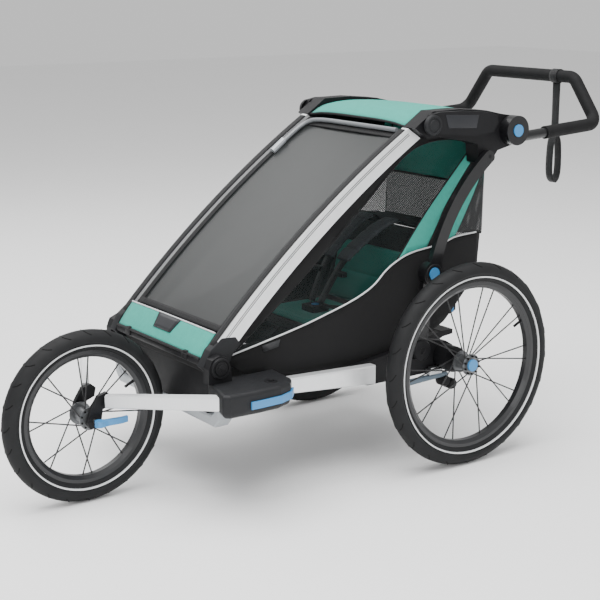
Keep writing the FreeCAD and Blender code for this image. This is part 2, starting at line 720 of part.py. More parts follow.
def harness_half(body, side):
    """A shoulder strap with its pad, from the top of the seat back down towards the buckle."""
    plate(body, side, 32, 74, [(-20, 568), (-14, 582), (-84, 552), (-166, 492), (-232, 388),
                               (-222, 376), (-152, 474), (-78, 534)])


def make_buckle():
    body = new_body("buckle")
    sketch = new_sketch(body, "XY", (0, 0, 353))
    draw_outline(sketch, [(-24, -252), (24, -252), (24, -204), (-24, -204)])
    draw_circle(sketch, (0, -228), 10.3)
    pad(body, sketch, 16)
    button = new_body("buckle_button")
    disc = new_sketch(button, "XY", (0, 0, 358))
    draw_circle(disc, (0, -228), 10)
    pad(button, disc, 12)


def make_cabin():
    bow = "Sizes.bow_radius"
    across_cabin("window_screen", [(-111, 807), (-622, 392), (-618, 387), (-107, 802)],
                 arcs={0: f"{bow} * -1", 2: bow})
    across_cabin("roof_panel", [
        (-100, 814), (-60, 836), (20, 841), (110, 834), (180, 818), (182, 828), (112, 847),
        (20, 854), (-62, 849), (-104, 826)])
    across_cabin("front_band", [(-676, 346), (-670, 341), (-632, 388), (-640, 395)])
    across_cabin("rear_panel", [(147, 538), (152, 700), (178, 812), (174, 812), (148, 700),
                                (143, 538)])
    across_cabin("cargo_bag", [(140, 534), (128, 462), (92, 396), (58, 330), (20, 296),
                               (-60, 290), (-30, 420), (60, 534)], half="Sizes.seat_half + 10")
    across_cabin("seat_base", [(-340, 318), (-105, 300), (-76, 310), (-98, 348), (-250, 352),
                               (-330, 352)], half="Sizes.seat_half")
    across_cabin("seat_back", [(-74, 312), (9, 555), (-22, 566), (-96.5, 349)],
                 half="Sizes.seat_half")
    paired("side_panels", side_panel)
    paired("harness", harness_half)
    make_buckle()


def make_all():
    make_front_wheel()
    make_front_axle()
    make_front_bar()
    make_footwell()
    make_front_cross_tube()
    make_rear_axle()
    make_brake_pedal()
    make_top_tube()
    make_handlebar()
    make_strap()
    for name, side in SIDES.items():
        make_rear_wheel(name, side)
        make_rail(name, side)
        make_arm_socket(name, side)
        make_latch(name, side)
        make_jog_arm(name, side)
        make_upright(name, side)
        make_casting(name, side)
        make_fold_button(name, side)
        make_pivot_button(name, side)
    paired("front_brackets", front_bracket)
    paired("rear_brackets", rear_bracket)
    paired("axle_housings", axle_housing)
    paired("jog_dropouts", dropout)
    paired("upper_struts", upper_strut)
    paired("lower_struts", lower_strut)
    paired("pivot_pins", front_pin, rear_pin)
    make_cabin()


def check_and_write():
    """Stop on any failed object or bad shape, then write one STEP file for each sub-part."""
    doc.recompute()
    for item in doc.Objects:
        if {"Invalid", "Error"} & set(item.State):
            raise RuntimeError(f"{item.Name} failed: {item.State}")
    os.makedirs("parts", exist_ok=True)
    for item in subparts:
        if item.Shape.isNull() or not item.Shape.isValid():
            raise RuntimeError(f"{item.Label} has a bad shape")
        item.Shape.exportStep(f"parts/{item.Label}.step")
    print(len(subparts), "sub-parts written")


make_all()
check_and_write()
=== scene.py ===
"""Child bicycle trailer in its jogging set-up: fabric, trim and finishes round the CAD frame."""

import json
import math

import bmesh
import bpy
from bpy.props import FloatProperty, FloatVectorProperty, PointerProperty
from mathutils import Matrix, Vector

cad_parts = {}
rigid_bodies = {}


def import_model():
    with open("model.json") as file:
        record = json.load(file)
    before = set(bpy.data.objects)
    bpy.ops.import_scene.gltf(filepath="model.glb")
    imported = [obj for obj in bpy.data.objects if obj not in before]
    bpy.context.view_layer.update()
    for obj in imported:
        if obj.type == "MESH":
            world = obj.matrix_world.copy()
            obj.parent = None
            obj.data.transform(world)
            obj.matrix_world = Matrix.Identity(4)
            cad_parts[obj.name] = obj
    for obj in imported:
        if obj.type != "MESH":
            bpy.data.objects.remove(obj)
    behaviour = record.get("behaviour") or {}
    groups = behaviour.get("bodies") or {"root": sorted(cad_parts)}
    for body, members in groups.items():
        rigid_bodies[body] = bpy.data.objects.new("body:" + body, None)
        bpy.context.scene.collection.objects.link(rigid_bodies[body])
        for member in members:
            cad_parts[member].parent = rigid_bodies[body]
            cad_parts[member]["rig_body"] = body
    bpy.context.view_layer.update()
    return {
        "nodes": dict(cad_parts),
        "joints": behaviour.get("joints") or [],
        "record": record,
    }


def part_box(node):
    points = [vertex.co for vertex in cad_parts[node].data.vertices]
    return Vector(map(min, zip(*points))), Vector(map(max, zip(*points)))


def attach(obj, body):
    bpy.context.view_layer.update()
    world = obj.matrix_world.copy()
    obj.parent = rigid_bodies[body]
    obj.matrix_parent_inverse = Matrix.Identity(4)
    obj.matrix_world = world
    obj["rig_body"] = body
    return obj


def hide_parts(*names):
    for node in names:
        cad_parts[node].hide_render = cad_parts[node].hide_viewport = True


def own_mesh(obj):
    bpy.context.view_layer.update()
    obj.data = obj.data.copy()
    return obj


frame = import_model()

bl_info = {
    "name": "Child bicycle trailer",
    "version": (1, 0, 0),
    "blender": (4, 5, 0),
    "location": "View3D > Sidebar > Trailer",
    "description": "Builds the fabric, trim and finishes of a child bicycle trailer",
    "category": "Object",
}

JOINT_POINTS = {joint["name"]: joint.get("pos_m") for joint in frame["joints"]}
AXLE_Y = JOINT_POINTS["rear_wheel_left_spin"][1]
SIDES = {"left": 1, "right": -1}
SLOTS = {row["node"]: row["material_slot"] for row in frame["record"]["subparts"]}

CABIN_HALF = 187
SIDE_X = 189
UPRIGHT_INNER, UPRIGHT_OUTER = 190.2, 213.25
CASTING_OUTER = 250
FRONT_PIVOT = (-657, 331)
REAR_PIVOT = (-85, 281)
ELBOW = (-62, 470)
HITCH_PIN = (287, -557, 297.2)
TYRE_HALF = 23.5
TREAD_CUTS = 24
FLANGE_HOLES = 10
FLANGE_HOLE_CIRCLE = 22.2
FRONT_FLANGES = (26.5, -26.5)
LEFT_FLANGES, RIGHT_FLANGES = (13.9, -28.5), (28.5, -13.9)
SPOKE_THICKENING = 0.0004

FLOOR_HALF = 14
WORLD_LIGHT = 0.75
LIGHTS = (
    ("key", (0.6, -0.8, 4.4), 4.5, 400),
    ("fill", (4.2, -1.6, 2.0), 2.4, 60),
    ("back", (-2.9, -0.3, 2.7), 2.2, 34),
)
LIGHT_TARGET = Vector((0, 0, 0.4))
CAMERA_LENS, CAMERA_SENSOR = 82.68, 36
CAMERA_PLACE = (2.68962, -2.18842 + AXLE_Y, 1.17068)
CAMERA_DOWN, CAMERA_ROUND = 13.3799, 54.5653
WHEELS = {
    "front_wheel": (0, -868.3, 199.5),
    "rear_wheel_left": (315.3, 0, 250),
    "rear_wheel_right": (-315.3, 0, 250),
}
PIPING_LINE = [(-622, 336), (-433, 380), (-357, 401), (-268, 428), (-212, 454), (-178, 482),
               (-143, 501), (-102, 515), (-58, 521), (-9, 525), (24, 531), (55, 539), (125, 542)]


def at(x, y, z):
    """A point in millimetres, measured from the ground under the rear axle."""
    return Vector((x / 1000, y / 1000 + AXLE_Y, z / 1000))


class TrailerSettings(bpy.types.PropertyGroup):
    """Colours and small sizes of the soft parts."""

    teal: FloatVectorProperty(
        name="Canopy colour", description="Colour of the canopy and the seat inserts",
        subtype="COLOR", size=3, min=0, max=1, default=(0.040, 0.325, 0.262))
    black: FloatVectorProperty(
        name="Body fabric colour", description="Colour of the lower fabric",
        subtype="COLOR", size=3, min=0, max=1, default=(0.0045, 0.0045, 0.005))
    blue: FloatVectorProperty(
        name="Accent colour", description="Colour of the buttons, caps and levers",
        subtype="COLOR", size=3, min=0, max=1, default=(0.036, 0.212, 0.465))
    piping: FloatProperty(
        name="Piping radius", description="Radius of the reflective piping",
        subtype="DISTANCE", unit="LENGTH", default=0.0021, min=0.001, max=0.005)
    weave: FloatProperty(
        name="Weave pitch", description="Distance between two threads of the fabric",
        subtype="DISTANCE", unit="LENGTH", default=0.0016, min=0.0005, max=0.01)
    side_bulge: FloatProperty(
        name="Side bulge", description="How far the side fabric swells outwards",
        subtype="DISTANCE", unit="LENGTH", default=0.022, min=0, max=0.03)


def settings():
    """The trailer's settings in the open scene."""
    return bpy.context.scene.trailer_settings


# Finishes


class Finish:
    """A node material under construction round one Principled shader."""

    def __init__(self, name, colour, roughness, metallic=0.0):
        self.material = bpy.data.materials.new(name)
        self.material.use_nodes = True
        self.tree = self.material.node_tree
        self.shader = self.tree.nodes["Principled BSDF"]
        self.shader.inputs["Roughness"].default_value = roughness
        self.shader.inputs["Metallic"].default_value = metallic
        self.shader.inputs["Base Color"].default_value = (*colour, 1)
        self.colour = tuple(colour)
        self.places = self.add("ShaderNodeTexCoord").outputs["Object"]

    def add(self, kind, inputs=None, **options):
        """A node with its options set and its inputs filled or linked."""
        node = self.tree.nodes.new(kind)
        for key, value in options.items():
            setattr(node, key, value)
        for key, value in (inputs or {}).items():
            if isinstance(value, bpy.types.NodeSocket):
                self.tree.links.new(value, node.inputs[key])
            else:
                node.inputs[key].default_value = value
        return node

    def maths(self, operation, first, second=0.5):
        """The result of one sum."""
        node = self.add("ShaderNodeMath", {0: first, 1: second}, operation=operation)
        return node.outputs[0]

    def spread(self, value, low, high, new_low=0.0, new_high=1.0):
        """The value taken from one range to another."""
        node = self.add("ShaderNodeMapRange", {"Value": value, "From Min": low, "From Max": high,
                                               "To Min": new_low, "To Max": new_high})
        return node.outputs["Result"]

    def cloud(self, size, detail=4.0, stretch=(1, 1, 1)):
        """Soft noise with spots of about that size in metres."""
        moved = self.add("ShaderNodeMapping", {"Vector": self.places, "Scale": stretch})
        node = self.add("ShaderNodeTexNoise", {"Vector": moved.outputs[0], "Scale": 1 / size,
                                               "Detail": detail, "Roughness": 0.55})
        return node.outputs["Fac"]

    def threads(self, pitch, turn=(0, 0, 0), way="X"):
        """Parallel ridges across one direction, from 0 to 1."""
        moved = self.add("ShaderNodeMapping", {"Vector": self.places, "Rotation": turn})
        node = self.add("ShaderNodeTexWave", {"Vector": moved.outputs[0],
                                              "Scale": math.pi / 10 / pitch},
                        wave_type="BANDS", bands_direction=way)
        return node.outputs["Fac"]

    def tint(self, amount, factor):
        """The colour goes darker and lighter by that amount with the factor."""
        dark = tuple(channel * (1 - amount) for channel in self.colour)
        light = tuple(min(1, channel * (1 + amount) + amount * 0.01) for channel in self.colour)
        node = self.add("ShaderNodeMix", {0: factor, 6: (*dark, 1), 7: (*light, 1)},
                        data_type="RGBA")
        self.tree.links.new(node.outputs[2], self.shader.inputs["Base Color"])
        return node.outputs[2]

    def rough(self, factor, low, high):
        """The roughness follows the factor between two values."""
        self.tree.links.new(self.spread(factor, 0, 1, low, high), self.shader.inputs["Roughness"])

    def bump(self, height, strength, depth):
        """The height raises the surface; bumps given one after the other add up."""
        link = self.shader.inputs["Normal"].links
        before = {"Normal": link[0].from_socket} if link else {}
        node = self.add("ShaderNodeBump", {"Height": height, "Strength": strength,
                                           "Distance": depth, **before})
        self.tree.links.new(node.outputs[0], self.shader.inputs["Normal"])

    def sheen(self, weight, roughness=0.5):
        """A soft glow at grazing angles, as on cloth."""
        self.shader.inputs["Sheen Weight"].default_value = weight
        self.shader.inputs["Sheen Roughness"].default_value = roughness


def moulded(name, colour, roughness=0.48, grain=0.0012):
    """Moulded plastic with a fine pebbled grain and worn, cloudy gloss."""
    finish = Finish(name, colour, roughness)
    finish.tint(0.16, finish.cloud(0.05))
    finish.rough(finish.cloud(0.02), roughness - 0.08, roughness + 0.1)
    finish.bump(finish.cloud(grain, 2.0), 0.25, 0.0004)
    finish.shader.inputs["Specular IOR Level"].default_value = 0.2
    return finish.material


def painted(name, colour, roughness=0.32, metallic=0.0, coat=0.15):
    """Smooth powder coat with slight orange peel."""
    finish = Finish(name, colour, roughness, metallic)
    finish.tint(0.08, finish.cloud(0.08))
    finish.rough(finish.cloud(0.03), roughness - 0.05, roughness + 0.08)
    finish.bump(finish.cloud(0.0025, 1.0), 0.12, 0.0003)
    finish.shader.inputs["Coat Weight"].default_value = coat
    return finish.material


def brushed(name, colour, stretch, roughness=0.3, metallic=0.85):
    """Anodised aluminium with fine lines drawn along the part."""
    finish = Finish(name, colour, roughness, metallic)
    lines = finish.cloud(0.0012, 3.0, stretch)
    finish.tint(0.07, lines)
    finish.rough(finish.cloud(0.006, 4.0, stretch), roughness - 0.05, roughness + 0.12)
    finish.bump(lines, 0.12, 0.0003)
    return finish.material


def woven(name, colour, ways, amount=0.22, roughness=0.82, sheen=0.04):
    """Plain-weave cloth: two sets of threads, a slight slub and cloudy dye."""
    finish = Finish(name, colour, roughness)
    pitch = settings().weave
    over = finish.threads(pitch, way=ways[0])
    under = finish.threads(pitch, way=ways[1])
    net = finish.maths("MULTIPLY", over, under)
    slub = finish.cloud(0.012, 5.0)
    shade = finish.maths("ADD", finish.maths("MULTIPLY", net, 0.45),
                         finish.maths("MULTIPLY", slub, 0.55))
    finish.tint(amount, shade)
    finish.rough(slub, roughness - 0.07, roughness + 0.07)
    finish.bump(net, 0.35, 0.0005)
    finish.bump(finish.cloud(0.03, 2.0), 0.25, 0.003)
    finish.sheen(sheen)
    finish.shader.inputs["Specular IOR Level"].default_value = 0.25
    return finish.material


def netting(name, colour, pitch, turn, cover=0.42, ways=("Y", "Z")):
    """Open mesh cloth: round holes in a diamond net, seen through."""
    finish = Finish(name, colour, 0.7)
    over = finish.threads(pitch, turn, ways[0])
    under = finish.threads(pitch, turn, ways[1])
    net = finish.maths("MULTIPLY", over, under)
    alpha = finish.spread(net, cover - 0.06, cover + 0.06, 1.0, 0.0)
    finish.tint(0.25, finish.cloud(0.02))
    finish.bump(net, 0.4, 0.0006)
    finish.tree.links.new(alpha, finish.shader.inputs["Alpha"])
    return finish.material


def film(name, colour, alpha, roughness=0.12, haze=0.05):
    """Clear or smoked sheet with slow waves in it."""
    finish = Finish(name, colour, roughness)
    waves = finish.cloud(0.16, 2.0)
    veil = finish.cloud(0.06, 3.0)
    finish.tint(0.12, veil)
    finish.bump(waves, 0.06, 0.003)
    finish.rough(veil, roughness, roughness + 0.1)
    finish.shader.inputs["Specular IOR Level"].default_value = 0.3
    finish.tree.links.new(finish.spread(veil, 0, 1, alpha - haze, alpha + haze),
                          finish.shader.inputs["Alpha"])
    return finish.material


def tyre_rubber(name, centre, radius):
    """Tyre rubber with moulding ribs on the wall and a fine grain all over."""
    finish = Finish(name, (0.010, 0.0103, 0.011), 0.62)
    middle = finish.add("ShaderNodeMapping", {"Vector": finish.places,
                                              "Location": tuple(-c for c in at(*centre))})
    turned_up = finish.add("ShaderNodeMapping", {"Vector": middle.outputs[0],
                                                 "Rotation": (0, math.pi / 2, 0)})
    parts = finish.add("ShaderNodeSeparateXYZ", {"Vector": turned_up.outputs[0]})
    flat = finish.add("ShaderNodeCombineXYZ", {"X": parts.outputs[0], "Y": parts.outputs[1]})
    reach = finish.add("ShaderNodeVectorMath", {0: flat.outputs[0]},
                       operation="LENGTH").outputs["Value"]
    rings = finish.add("ShaderNodeTexWave", {"Vector": flat.outputs[0], "Scale": 60.0},
                       wave_type="RINGS", rings_direction="Z").outputs["Fac"]
    wall = finish.spread(reach, radius - 0.020, radius - 0.028)
    finish.bump(finish.maths("MULTIPLY", rings, wall), 0.35, 0.0006)
    finish.bump(finish.cloud(0.0009, 2.0), 0.3, 0.0004)
    finish.tint(0.3, finish.cloud(0.03, 5.0))
    finish.rough(finish.cloud(0.015), 0.55, 0.72)
    finish.shader.inputs["Specular IOR Level"].default_value = 0.2
    return finish.material


FINISHES = {}


def make_finishes():
    """Every finish, by the name that the pieces use."""
    chosen = settings()
    level, slope, upright = ("X", "Y"), ("X", "Z"), ("Y", "Z")
    FINISHES.update({
        "teal side": woven("teal side fabric", chosen.teal, upright),
        "teal top": woven("teal canopy fabric", chosen.teal, level),
        "teal front": woven("teal front fabric", chosen.teal, slope),
        # The seat inserts' teal is the canopy colour darkened to 0.62: painted shade for the seat
        # inside the cabin.
        "painted-shade teal seat": woven("painted-shade teal seat fabric", tuple(c * 0.62 for c in chosen.teal), slope),
        "black side": woven("black side fabric", chosen.black, upright, 0.35),
        "black front": woven("black cross fabric", chosen.black, slope, 0.35),
        "seat": woven("dark seat fabric", (0.016, 0.017, 0.018), slope, 0.35),
        "webbing": woven("black webbing", (0.012, 0.012, 0.013), upright, 0.4, 0.6),
        "pad": woven("charcoal pad fabric", (0.062, 0.066, 0.074), slope, 0.35),
        "binding": woven("black binding", (0.007, 0.007, 0.008), slope, 0.3, 0.65),
        "screen": film("smoked front screen", (0.020, 0.022, 0.022), 0.90, 0.26, 0.03),
        "side film": film("smoked side film", (0.010, 0.016, 0.016), 0.26, 0.05, 0.03),
        "rear net": netting("rear mesh", (0.018, 0.019, 0.020), 0.0046,
                            (math.radians(45), 0, 0), 0.30),
        "inner net": netting("inner mesh", (0.03, 0.034, 0.035), 0.0048,
                             (0, math.radians(45), 0), 0.36, ("X", "Z")),
        "piping": painted("reflective piping", (0.60, 0.61, 0.62), 0.42, 0.35, 0.0),
        "reflector": painted("reflective tyre ring", (0.72, 0.73, 0.74), 0.38, 0.3, 0.0),
        "black plastic": moulded("black moulded plastic", (0.006, 0.006, 0.007)),
        "grey plastic": moulded("charcoal moulded plastic", (0.013, 0.0135, 0.015), 0.5),
        "blue": painted("blue accent plastic", chosen.blue, 0.38),
        "grey bar": painted("grey window bar", (0.16, 0.17, 0.18), 0.35, 0.2),
        "badge": moulded("blank badge", (0.022, 0.023, 0.026), 0.34),
        "steel": brushed("steel", (0.52, 0.53, 0.54), (1, 1, 1), 0.3, 1.0),
        "slate": painted("slate lever paint", (0.10, 0.14, 0.18), 0.4, 0.3),
        "label": moulded("blank side label", (0.035, 0.036, 0.038), 0.4),
        "light grey": painted("light grey paint", (0.34, 0.36, 0.38), 0.38, 0.25),
        "rim": painted("black rim", (0.018, 0.0185, 0.020), 0.36, 0.25),
        "black metal": painted("black satin metal", (0.006, 0.006, 0.007), 0.34, 0.2),
        "hub": brushed("hub aluminium", (0.15, 0.155, 0.16), (8, 1, 1), 0.36, 0.8),
        "spoke": painted("dark spokes", (0.006, 0.006, 0.007), 0.4, 0.0, 0.0),
        "silver": brushed("anodised aluminium", (0.80, 0.81, 0.82), (1, 0.06, 0.06), 0.34, 0.55),
        # Near-black: painted shade for the tread cuts and the flange holes.
        "painted cut shade": moulded("painted shade in cuts and holes", (0.002, 0.002, 0.002), 0.9),
        "foam": moulded("black foam grip", (0.006, 0.006, 0.0065), 0.72, 0.0016),
    })
    for body, centre in WHEELS.items():
        FINISHES[f"tyre {body}"] = tyre_rubber(f"tyre rubber {body}", centre, centre[2] / 1000)


SLOT_FINISH = {
    "rim": "rim", "spoke": "spoke", "hub": "hub", "blue": "blue", "silver": "silver",
    "light_grey": "light grey", "black_plastic": "black plastic", "black_metal": "black metal",
    "steel": "steel", "foam": "foam", "webbing": "webbing", "teal_fabric": "teal top",
    "black_fabric": "black side", "screen": "screen",
}


# Shapes


def piece(name, form, finish, body, slot, crease=35):
    """An object made from a bmesh, smooth up to the crease angle, that rides on a body."""
    bmesh.ops.remove_doubles(form, verts=form.verts, dist=1e-6)
    bmesh.ops.recalc_face_normals(form, faces=form.faces)
    mesh = bpy.data.meshes.new(name)
    form.to_mesh(mesh)
    form.free()
    mesh.shade_smooth()
    mesh.set_sharp_from_angle(angle=math.radians(crease))
    mesh.materials.append(FINISHES[finish])
    made = bpy.data.objects.new(name, mesh)
    bpy.context.scene.collection.objects.link(made)
    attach(made, body)
    return made


def thicken(made, thickness):
    """Gives a sheet its thickness, half to each side."""
    shell = made.modifiers.new("thickness", "SOLIDIFY")
    shell.thickness = thickness
    shell.offset = 0
    return made


def soften(made, levels=1):
    """Rounds a piece by subdivision."""
    rounding = made.modifiers.new("rounding", "SUBSURF")
    rounding.levels = rounding.render_levels = levels
    return made


def flowing(points, steps=5):
    """Points on a smooth line through the given ones."""
    ends = [points[0], *points, points[-1]]
    line = []
    for before, start, end, after in zip(ends, ends[1:], ends[2:], ends[3:]):
        for step in range(steps):
            t = step / steps
            line.append(tuple(
                0.5 * (2 * b + (c - a) * t + (2 * a - 5 * b + 4 * c - d) * t * t
                       + (3 * b - a - 3 * c + d) * t ** 3)
                for a, b, c, d in zip(before, start, end, after)))
    return [*line, points[-1]]


def along(points, share):
    """The point at a share of the way along a line of points."""
    lengths = [math.dist(a, b) for a, b in zip(points, points[1:])]
    left = share * sum(lengths)
    for (a, b), length in zip(zip(points, points[1:]), lengths):
        if left <= length:
            t = left / length
            return tuple(p + (q - p) * t for p, q in zip(a, b))
        left -= length
    return points[-1]


def grid(steps_u, steps_v, place):
    """A sheet of small faces, each corner put where place says for its two shares."""
    form = bmesh.new()
    bmesh.ops.create_grid(form, x_segments=steps_u, y_segments=steps_v, size=0.5)
    for vert in form.verts:
        vert.co = place(vert.co.x + 0.5, vert.co.y + 0.5)
    return form


def panel(outline, lay, step=22):
    """A sheet cut to an outline in the side plane, laid on the curved side."""
    form = bmesh.new()
    form.faces.new([form.verts.new((0, y, z)) for y, z in outline])
    for way in (0, 1):
        low = min(point[way] for point in outline)
        high = max(point[way] for point in outline)
        normal = (0, 1 - way, way)
        for number in range(1, int((high - low) / step) + 1):
            bmesh.ops.bisect_plane(form, geom=form.verts[:] + form.edges[:] + form.faces[:],
                                   plane_co=[c * (low + number * step) for c in normal],
                                   plane_no=normal)
    for vert in form.verts:
        vert.co = at(lay(vert.co.y, vert.co.z), vert.co.y, vert.co.z)
    return form


def prism(outline, inner, outer, bevel=0.0, segments=3):
    """A flat plate with an outline in the side plane, its edges rounded."""
    form = bmesh.new()
    base = form.faces.new([form.verts.new(at(inner, y, z)) for y, z in outline])
    made = bmesh.ops.extrude_face_region(form, geom=[base])
    moved = [part for part in made["geom"] if isinstance(part, bmesh.types.BMVert)]
    bmesh.ops.translate(form, verts=moved, vec=((outer - inner) / 1000, 0, 0))
    if bevel:
        bmesh.ops.bevel(form, geom=form.edges[:], offset=bevel / 1000, segments=segments,
                        profile=0.5, affect="EDGES", material=-1, clamp_overlap=True)
    return form


def block(low, high, bevel=1.5):
    """A box between two corners with rounded edges."""
    form = bmesh.new()
    bmesh.ops.create_cube(form, size=1)
    middle = [(a + b) / 2 for a, b in zip(low, high)]
    size = Vector([(b - a) / 1000 for a, b in zip(low, high)])
    bmesh.ops.scale(form, verts=form.verts, vec=size)
    bmesh.ops.translate(form, verts=form.verts, vec=at(*middle))
    bmesh.ops.bevel(form, geom=form.edges[:], offset=bevel / 1000, segments=3, profile=0.5,
                    affect="EDGES", material=-1, clamp_overlap=True)
    return form


def turned(profile, y, z, steps=48):
    """A round part about a line across the trailer, from (x, radius) points."""
    form = bmesh.new()
    line = [form.verts.new(at(x, y, z + radius)) for x, radius in profile]
    edges = [form.edges.new(pair) for pair in zip(line, line[1:])]
    bmesh.ops.spin(form, geom=line + edges, cent=at(0, y, z), axis=(1, 0, 0),
                   angle=math.tau, steps=steps, use_merge=True)
    return form


def tube(points, radius, sides=3):
    """A round tube on a smooth line near the points, with closed ends."""
    line = bpy.data.curves.new("line", "CURVE")
    line.dimensions = "3D"
    line.bevel_depth = radius
    line.bevel_resolution = sides
    line.use_fill_caps = True
    spline = line.splines.new("NURBS")
    spline.points.add(len(points) - 1)
    for knot, point in zip(spline.points, points):
        knot.co = (*point, 1)
    spline.order_u = 3
    spline.use_endpoint_u = True
    holder = bpy.data.objects.new("line", line)
    bpy.context.scene.collection.objects.link(holder)
    mesh = bpy.data.meshes.new_from_object(
        holder.evaluated_get(bpy.context.evaluated_depsgraph_get()))
    form = bmesh.new()
    form.from_mesh(mesh)
    bpy.data.objects.remove(holder)
    bpy.data.curves.remove(line)
    bpy.data.meshes.remove(mesh)
    return form


def joined(forms):
    """Several forms as one."""
    whole = bmesh.new()
    for form in forms:
        mesh = bpy.data.meshes.new("part")
        form.to_mesh(mesh)
        form.free()
        whole.from_mesh(mesh)
        bpy.data.meshes.remove(mesh)
    return whole


def mirrored(form, side):
    """The form as it is for the left, or turned over for the right."""
    if side < 0:
        bmesh.ops.scale(form, verts=form.verts, vec=(-1, 1, 1))
    return form


def crumple(made):
    """Gives a soft piece its own copy of its mesh."""
    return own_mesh(made)


def swell(made, limit, voxel=0.006, pressure=4.0):
    """Fills a closed shape by a short cloth simulation; no point moves past the limit."""
    shaper = made.modifiers.new("even", "REMESH")
    shaper.mode = "VOXEL"
    shaper.voxel_size = voxel
    settle(made)
    start = [vert.co.copy() for vert in made.data.vertices]
    cloth = made.modifiers.new("filling", "CLOTH")
    cloth.settings.use_pressure = True
    cloth.settings.uniform_pressure_force = pressure
    cloth.settings.effector_weights.gravity = 0
    for number in range(1, 21):
        bpy.context.scene.frame_set(number)
    settle(made)
    bpy.context.scene.frame_set(1)
    for vert, place in zip(made.data.vertices, start):
        shift = vert.co - place
        if shift.length > limit:
            vert.co = place + shift * (limit / shift.length)
    made.data.shade_smooth()
    return soften(made)


def settle(made):
    """Turns a piece's modifiers into its mesh."""
    depsgraph = bpy.context.evaluated_depsgraph_get()
    mesh = bpy.data.meshes.new_from_object(made.evaluated_get(depsgraph))
    made.modifiers.clear()
    made.data = mesh
    return made


# Pieces


def side_x(y, z):
    """How far out the side fabric stands at a place on the side, in millimetres."""
    across = max(0.0, 1 - ((y + 230) / 390) ** 2)
    height = max(0.0, 1 - ((z - 420) / 190) ** 2)
    return SIDE_X + settings().side_bulge * 1000 * across * height


def window_point(u, v, lift=0.0):
    """A place on the bowed front: u across from the right to the left, v up the slope."""
    low, high = Vector((-624, 390)), Vector((-108, 808))
    chord = high - low
    place = low + chord * v + Vector((-chord.y, chord.x)).normalized() * (
        20.4 * 4 * v * (1 - v) + lift)
    return at(CABIN_HALF * (2 * u - 1), place.x, place.y)


def upright_side(v, depth, x=UPRIGHT_OUTER):
    """A place on the left upright, a depth below its bowed front edge."""
    low, high = Vector((-655, 371)), Vector((-121, 811))
    chord = high - low
    out = Vector((-chord.y, chord.x)).normalized()
    place = low + chord * v + out * (22.0 * 4 * v * (1 - v) - depth)
    return at(x, place.x, place.y)


class TRAILER_OT_finishes(bpy.types.Operator):
    """Make the finishes and give them to the CAD parts"""

    bl_idname = "trailer.finishes"
    bl_label = "Finishes"

    def execute(self, context):
        make_finishes()
        for name, node in frame["nodes"].items():
            finish = SLOT_FINISH.get(SLOTS[name], f"tyre {node['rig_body']}")
            if "socket" in name and "arm" in name:
                finish = "grey plastic"
            for place in node.material_slots:
                place.material = FINISHES[finish]
        return {"FINISHED"}


class TRAILER_OT_wrist_strap(bpy.types.Operator):
    """Hang the wrist strap from the push bar"""

    bl_idname = "trailer.wrist_strap"
    bl_label = "Wrist strap"

    def execute(self, context):
        top, middle, bottom = 906, 760, 625
        bar_y, width, gap = 483.3, 24, 16
        halves = []
        for way in (1, -1):
            loop = flowing([(bar_y + 1.2 * way, top - 17), (bar_y + 1.2 * way, middle + 10),
                            (bar_y + gap * 0.8 * way, middle - 30), (bar_y + gap * way, 668),
                            (bar_y + gap * 0.7 * way, 637), (bar_y, bottom)])
            halves.append(grid(34, 3, lambda u, v, loop=loop: at(
                100 + width * (v - 0.5), *along(loop, u))))
        ring = [(bar_y + 17.6 * math.sin(turn), top + 17.6 * math.cos(turn))
                for turn in (math.tau * step / 32 for step in range(33))]
        halves.append(grid(32, 3, lambda u, v: at(100 + width * (v - 0.5), *along(ring, u))))
        strap = thicken(piece("wrist_strap_web", joined(halves), "webbing", "handle", "webbing"),
                        0.0016)
        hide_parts("wrist_strap")
        piece("wrist_strap_keeper", block((86, bar_y - 4.5, middle + 4),
                                          (114, bar_y + 4.5, middle + 16)),
              "black plastic", "handle", "black_plastic")
        return {"FINISHED"}


class TRAILER_OT_front_window(bpy.types.Operator):
    """Stretch the smoked screen over the sloped front, with its binding and top bar"""

    bl_idname = "trailer.front_window"
    bl_label = "Front window"

    def execute(self, context):
        screen = piece("front_screen", grid(16, 32, lambda u, v: window_point(
            u, v, -3 * (1 - (2 * u - 1) ** 2))), "screen", "upper_frame", "screen")
        thicken(screen, 0.0012)
        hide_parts("window_screen")
        edges = []
        for u, far in ((0.012, 0), (0.988, 1)):
            edges.append(grid(3, 32, lambda a, v, u=u: window_point(
                u + (a - 0.5) * 0.045 * (0.5 if far else 1), v, 1.6)))
        edges.append(grid(16, 3, lambda a, v: window_point(a, 0.004 + v * 0.026, 1.6)))
        edges.append(grid(16, 3, lambda a, v: window_point(a, 0.955 + v * 0.03, 1.6)))
        thicken(piece("screen_binding", joined(edges), "binding", "upper_frame",
                      "black_fabric"), 0.0018)
        bar = [window_point(0.03, 0.80, 5), window_point(0.03, 0.90, 7),
               window_point(0.05, 0.965, 8), window_point(0.16, 0.985, 9),
               window_point(0.5, 0.985, 9), window_point(0.975, 0.985, 9)]
        piece("window_top_bar", tube(bar, 0.0058), "grey bar", "upper_frame", "light_grey")
        clip = [window_point(0.03, 0.78, 6), window_point(0.03, 0.845, 8)]
        piece("window_bar_clip", tube(clip, 0.0085), "light grey", "upper_frame", "light_grey")
        return {"FINISHED"}


